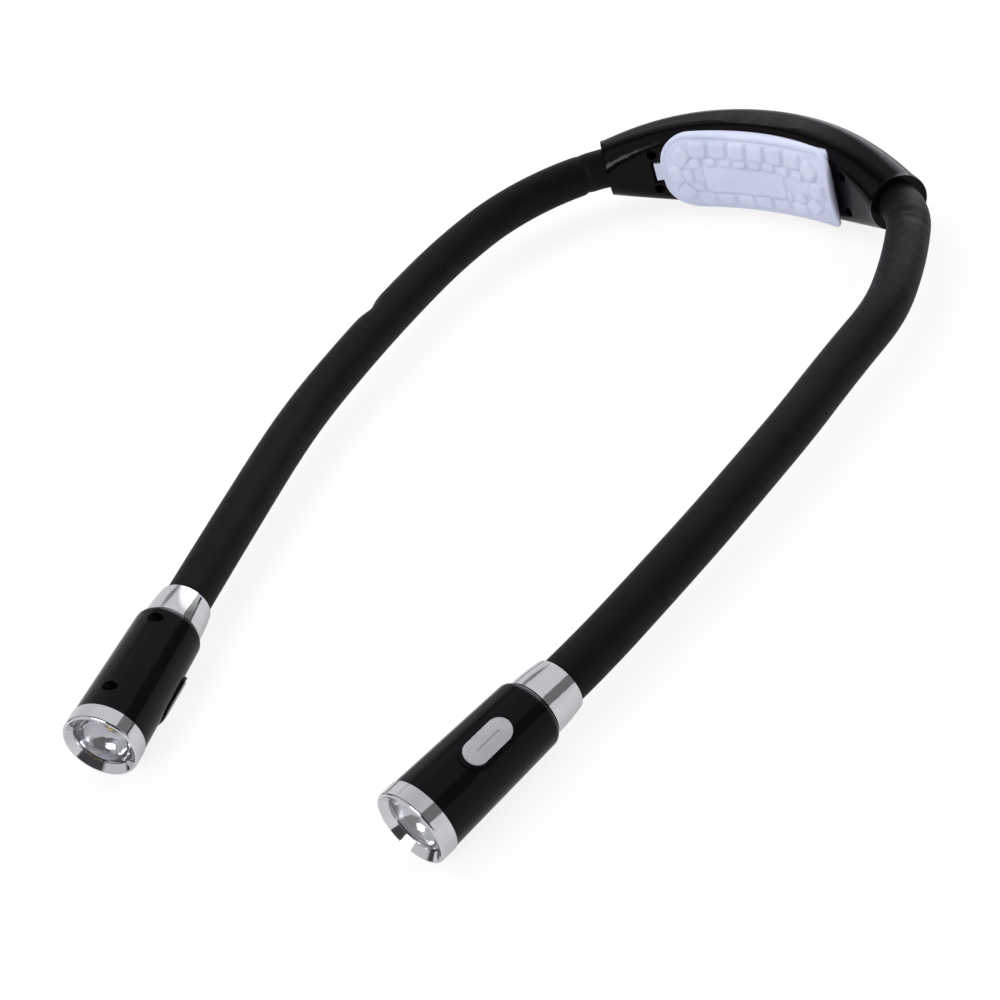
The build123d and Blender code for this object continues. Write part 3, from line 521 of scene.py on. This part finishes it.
def loop_places(half_length, half_height):
    """Evenly spaced places on a slot-shaped loop: along, lift and direction out of the loop."""
    radius = half_height
    straight = 2 * (half_length - radius)
    total = 2 * straight + 2 * math.pi * radius
    places = []
    for index in range(bump_count):
        run = (total * (index + 0.5) / bump_count + straight / 2) % total
        if run < straight:
            places.append((run - straight / 2, radius, math.pi / 2))
            continue
        run -= straight
        if run < math.pi * radius:
            turn = run / radius
            places.append((straight / 2 + radius * math.sin(turn), radius * math.cos(turn),
                           math.pi / 2 - turn))
            continue
        run -= math.pi * radius
        if run < straight:
            places.append((straight / 2 - run, -radius, -math.pi / 2))
            continue
        turn = (run - straight) / radius
        places.append((-straight / 2 - radius * math.sin(turn), -radius * math.cos(turn),
                       -math.pi / 2 - turn))
    return places


def pillow(reach):
    """Height share of a bump: flat on top and rounded off towards its foot."""
    return math.sqrt(max(0.0, 1 - reach ** bump_dome_power))


def outline_depth(along, lift):
    """Distance in from the pad's outline, negative outside it."""
    right_radius = pad_top_right_radius if lift > 0 else pad_bottom_right_radius
    radius = pad_left_radius if along < 0 else right_radius
    out_x = abs(along) - (pad_half_length - radius)
    out_y = abs(lift) - (pad_half_height - radius)
    if out_x > 0 and out_y > 0:
        return radius - math.hypot(out_x, out_y)
    return radius - max(out_x, out_y)


def bump_fields():
    """Every bump of both rings with its place and its direction out of the ring."""
    fields = []
    for bump in (outer_bump, inner_bump):
        places = loop_places(pad_half_length - bump["inset"], pad_half_height - bump["inset"])
        fields += [(bump, *place) for place in places]
    return fields


def pad_relief(along, lift, fields):
    """Height of the pad's face over its plain crown."""
    relief = 0.0
    for bump, x, y, out in fields:
        dx, dy = along - x, lift - y
        if abs(dx) > bump_reach or abs(dy) > bump_reach:
            continue
        outwards = (dx * math.cos(out) + dy * math.sin(out)) / bump["half_in"]
        sideways = (-dx * math.sin(out) + dy * math.cos(out)) / bump["half_along"]
        reach = (abs(outwards) ** bump_outline_power
                 + abs(sideways) ** bump_outline_power) ** (1 / bump_outline_power)
        if reach < 1:
            relief = max(relief, bump["height"] * pillow(reach))
    dx = abs(along - plaque["along"]) - (plaque["half_along"] - plaque["radius"])
    dy = abs(lift - plaque["lift"]) - (plaque["half_lift"] - plaque["radius"])
    away = math.hypot(max(dx, 0), max(dy, 0)) + min(max(dx, dy), 0) - plaque["radius"]
    if away < plaque["moat_end"]:
        level = plaque["height"] * (1 - smooth_step(away, -plaque["slope"], 0.0))
        relief = max(relief * smooth_step(away, plaque["moat_start"], plaque["moat_end"]), level)
    depth = outline_depth(along, lift)
    line = (depth - rim_line["inset"]) / rim_line["width"]
    relief -= rim_line["depth"] * math.exp(-line * line)
    if depth < edge_rounding:
        rest = 1 - max(0.0, depth) / edge_rounding
        relief -= edge_rounding * (1 - math.sqrt(max(0.0, 1 - rest * rest)))
    return relief


def pad_ring(inset):
    """Points of the pad's outline moved inwards, the same number on every ring."""
    half_x = max(pad_half_length - inset, 0)
    half_y = max(pad_half_height - inset, 0)
    corners = ((1, 1, pad_top_right_radius), (-1, 1, pad_left_radius),
               (-1, -1, pad_left_radius), (1, -1, pad_bottom_right_radius))
    points = []
    for index, (sx, sy, full) in enumerate(corners):
        radius = max(full - inset, 0)
        start = index * math.pi / 2
        turns = large_corner_steps if full == pad_left_radius else small_corner_steps
        for k in range(turns + 1):
            angle = start + math.pi / 2 * k / turns
            points.append((sx * (half_x - radius) + radius * math.cos(angle),
                           sy * (half_y - radius) + radius * math.sin(angle)))
        nx, ny, next_full = corners[(index + 1) % 4]
        next_radius = max(next_full - inset, 0)
        first = points[-1]
        angle = start + math.pi / 2
        last = (nx * (half_x - next_radius) + next_radius * math.cos(angle),
                ny * (half_y - next_radius) + next_radius * math.sin(angle))
        steps = side_steps if index in (0, 2) else end_steps
        for k in range(1, steps):
            share = k / steps
            points.append((first[0] + (last[0] - first[0]) * share,
                           first[1] + (last[1] - first[1]) * share))
    return points


def face_point(along, lift, height):
    """A point at a height over the face's edge line, on the pad's own gentler curve."""
    middle_y = centre_y + pad_back_radius - pad_middle_thickness - pad_curve_radius
    angle = math.asin(along / pad_curve_radius)
    radius = pad_curve_radius - height
    return Vector((radius * math.sin(angle), middle_y + radius * math.cos(angle),
                   pad_centre_height + lift)) + origin_shift


def back_point(along, lift):
    """A point on the pad's back, which follows the door."""
    return Vector((along, centre_y + math.sqrt(pad_back_radius ** 2 - along ** 2),
                   pad_centre_height + lift)) + origin_shift


def build_pad():
    """The soft pad in rings of points, from the middle of its back to the middle of its face."""
    fields = bump_fields()
    crown_radius = (pad_half_height ** 2 + pad_crown ** 2) / (2 * pad_crown)
    mesh = bmesh.new()
    insets = list(edge_insets)
    while insets[-1] < pad_half_height - last_inset_gap:
        insets.append(insets[-1] + inset_step)
    insets.append(pad_half_height)

    def face_ring(inset):
        made = []
        for along, lift in pad_ring(inset):
            crown = pad_crown - (crown_radius - math.sqrt(crown_radius ** 2 - lift ** 2))
            height = crown + pad_relief(along, lift, fields)
            made.append(mesh.verts.new(face_point(along, lift, height)))
        return made

    def back_ring(inset):
        return [mesh.verts.new(back_point(along, lift)) for along, lift in pad_ring(inset)]

    rings = [back_ring(inset) for inset in back_insets]
    rings += [face_ring(inset) for inset in insets]
    for first, second in zip(rings, rings[1:]):
        size = len(first)
        for k in range(size):
            mesh.faces.new((first[k], first[(k + 1) % size], second[(k + 1) % size], second[k]))
    bmesh.ops.remove_doubles(mesh, verts=mesh.verts, dist=join_distance)
    bmesh.ops.recalc_face_normals(mesh, faces=mesh.faces)
    data = finished_mesh("neck_pad_soft", mesh)
    pad = new_piece("neck_pad_soft", data, pad_lavender)
    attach(pad, "battery_door")
    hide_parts("neck_pad")


build_pad()


# Studio

soft_colour = (0.98, 0.99, 1)
soft_strength = 0.62

# What the glossy pieces mirror. The strip is a dim band across its axis, on the side that it faces.
# Each patch and the backdrop begin at one cosine from their direction and are full at the other.
mirrored_grey = (0.62, 0.63, 0.66)
dim_strip = {"axis": (-0.624, 0.246, 0.742), "full": 0.24, "ends": 0.28,
             "colour": (0.16, 0.165, 0.165)}
strip_side = {"direction": (0.66, 0.65, 0.37), "begins": 0.45, "full": 0.55}
dark_room = {"direction": (-0.1, -0.95, 0.3), "begins": -0.15, "full": 0.3,
             "colour": (0.05, 0.05, 0.055)}
light_card = {"direction": (-0.45, -0.72, 0.53), "begins": 0.76, "full": 0.86,
              "colour": (0.55, 0.56, 0.58)}
dim_ceiling = {"direction": (-0.595, 0.565, 0.571), "begins": 0.985, "full": 0.9965,
               "colour": (0.24, 0.24, 0.25)}
backdrop = {"direction": (-0.12, 0.98, 0.15), "begins": 0.8, "full": 0.94}
backdrop_strength = 4

# The floor: paper that the camera sees mostly as white, and wholly so far from the light
floor_half_width = 4
floor_drop = 0.0001
paper_colour = (0.93, 0.93, 0.93)
mirrored_floor_colour = (0.5, 0.5, 0.52)
mirrored_floor_share = 0.75
white_share_near = 0.85
near_distance = 0.45
far_distance = 1.1

lamp_target = Vector((0, 0.02, 0.02))

camera_sensor = 36
camera_lens = 82.8
camera_place = (0.476326, -0.467112, 0.45718)
camera_turns = (53.4382, 14.9476, 36.0566)


def mix_shaders(tree, share, first, second):
    node = add_node(tree, "ShaderNodeMixShader")
    tree.links.new(share, node.inputs["Fac"])
    tree.links.new(first, node.inputs[1])
    tree.links.new(second, node.inputs[2])
    return node.outputs["Shader"]


def scalar(tree, operation, *values):
    """A sum on one or two values, each given as a number or as a socket."""
    node = add_node(tree, "ShaderNodeMath", operation=operation)
    for socket, value in zip(node.inputs, values):
        if isinstance(value, (int, float)):
            socket.default_value = value
        else:
            tree.links.new(value, socket)
    return node.outputs["Value"]


def dot(tree, vector, direction):
    node = add_node(tree, "ShaderNodeVectorMath", operation="DOT_PRODUCT")
    tree.links.new(vector, node.inputs[0])
    node.inputs[1].default_value = direction
    return node.outputs["Value"]


def patch_share(tree, vector, patch, low=0, high=1):
    """How far a direction lies in a patch of the surroundings."""
    cosine = dot(tree, vector, patch["direction"])
    return map_range(tree, cosine, low, high, patch["begins"], patch["full"])


def add_light(tree, kind, colour, strength=1):
    """A background or an emission."""
    node = add_node(tree, kind)
    node.inputs["Color"].default_value = (*colour, 1)
    node.inputs["Strength"].default_value = strength
    return node


def seen_in_glossy(tree, path):
    """One for a ray that a glossy or clear piece sends on, and zero for any other."""
    return scalar(tree, "MAXIMUM", path.outputs["Is Glossy Ray"],
                  path.outputs["Is Transmission Ray"])


def build_world():
    """Soft light all round, white behind the object, and what the glossy pieces mirror: a dim strip
    overhead, a dark room in front with a light card in it, a dim ceiling and a bright backdrop."""
    world = bpy.data.worlds.new("studio")
    world.use_nodes = True
    bpy.context.scene.world = world
    tree = world.node_tree
    tree.nodes.clear()
    output = add_node(tree, "ShaderNodeOutputWorld")
    path = add_node(tree, "ShaderNodeLightPath")
    direction = add_node(tree, "ShaderNodeTexCoord").outputs["Generated"]
    soft = add_light(tree, "ShaderNodeBackground", soft_colour, soft_strength)
    white = add_light(tree, "ShaderNodeBackground", (1, 1, 1))
    mirrored = add_light(tree, "ShaderNodeBackground", mirrored_grey)

    across = scalar(tree, "ABSOLUTE", dot(tree, direction, dim_strip["axis"]))
    strip = map_range(tree, across, 1, 0, dim_strip["full"], dim_strip["ends"])
    strip = scalar(tree, "MULTIPLY", strip, patch_share(tree, direction, strip_side))
    colour = mix_colours(tree, strip, mirrored_grey, dim_strip["colour"])
    for patch in (dark_room, light_card, dim_ceiling):
        colour = mix_colours(tree, patch_share(tree, direction, patch), colour, patch["colour"])
    tree.links.new(colour, mirrored.inputs["Color"])
    strength = patch_share(tree, direction, backdrop, 1, backdrop_strength)
    tree.links.new(strength, mirrored.inputs["Strength"])

    seen = seen_in_glossy(tree, path)
    shader = mix_shaders(tree, seen, soft.outputs[0], mirrored.outputs[0])
    shader = mix_shaders(tree, path.outputs["Is Camera Ray"], shader, white.outputs[0])
    tree.links.new(shader, output.inputs["Surface"])


def floor_paper():
    """Diffuse paper that shows white to the camera and dimmer in the glossy pieces."""
    material = bpy.data.materials.new("floor_white")
    material.use_nodes = True
    tree = material.node_tree
    tree.nodes.clear()
    output = add_node(tree, "ShaderNodeOutputMaterial")
    path = add_node(tree, "ShaderNodeLightPath")
    paper = add_node(tree, "ShaderNodeBsdfDiffuse")
    paper.inputs["Color"].default_value = (*paper_colour, 1)
    white = add_light(tree, "ShaderNodeEmission", (1, 1, 1))
    dim = add_light(tree, "ShaderNodeEmission", mirrored_floor_colour)
    away = add_node(tree, "ShaderNodeVectorMath", operation="LENGTH")
    tree.links.new(add_node(tree, "ShaderNodeTexCoord").outputs["Object"], away.inputs[0])
    lift = map_range(tree, away.outputs["Value"], white_share_near, 1, near_distance, far_distance)
    lifted = scalar(tree, "MULTIPLY", path.outputs["Is Camera Ray"], lift)
    seen = scalar(tree, "MULTIPLY", seen_in_glossy(tree, path), mirrored_floor_share)
    shader = mix_shaders(tree, seen, paper.outputs[0], dim.outputs[0])
    shader = mix_shaders(tree, lifted, shader, white.outputs[0])
    tree.links.new(shader, output.inputs["Surface"])
    return material


def build_floor():
    mesh = bmesh.new()
    bmesh.ops.create_grid(mesh, x_segments=4, y_segments=4, size=floor_half_width)
    data = finished_mesh("floor", mesh)
    data.materials.append(floor_paper())
    floor = new_object("floor", data)
    floor.location.z = -floor_drop


def add_lamp(name, direction, distance, size, power, mirrored):
    """A rectangular lamp that shines on the middle, mirrored in the glossy pieces or not."""
    lamp = bpy.data.lights.new(name, "AREA")
    lamp.shape = "RECTANGLE"
    lamp.size, lamp.size_y = size
    lamp.energy = power
    holder = new_object(name, lamp)
    direction = Vector(direction)
    holder.location = lamp_target + direction.normalized() * distance
    holder.rotation_euler = (-direction).to_track_quat("-Z", "Y").to_euler()
    holder.visible_glossy = mirrored


def build_camera():
    camera = bpy.data.cameras.new("camera")
    camera.sensor_width = camera_sensor
    camera.lens = camera_lens
    holder = new_object("camera", camera)
    holder.location = camera_place
    holder.rotation_euler = Euler([math.radians(turn) for turn in camera_turns])
    bpy.context.scene.camera = holder


build_world()
build_floor()
add_lamp("key", direction=(-0.55, 0.0, 1.0), distance=1.3, size=(0.9, 0.9), power=9,
         mirrored=False)
add_lamp("front", direction=(0.1, -0.85, 0.5), distance=1.2, size=(0.5, 0.35), power=4,
         mirrored=True)
add_lamp("rim", direction=(0.55, 0.9, 0.55), distance=1.2, size=(0.9, 0.3), power=6,
         mirrored=False)
build_camera()
bpy.context.scene.view_settings.view_transform = "Standard"
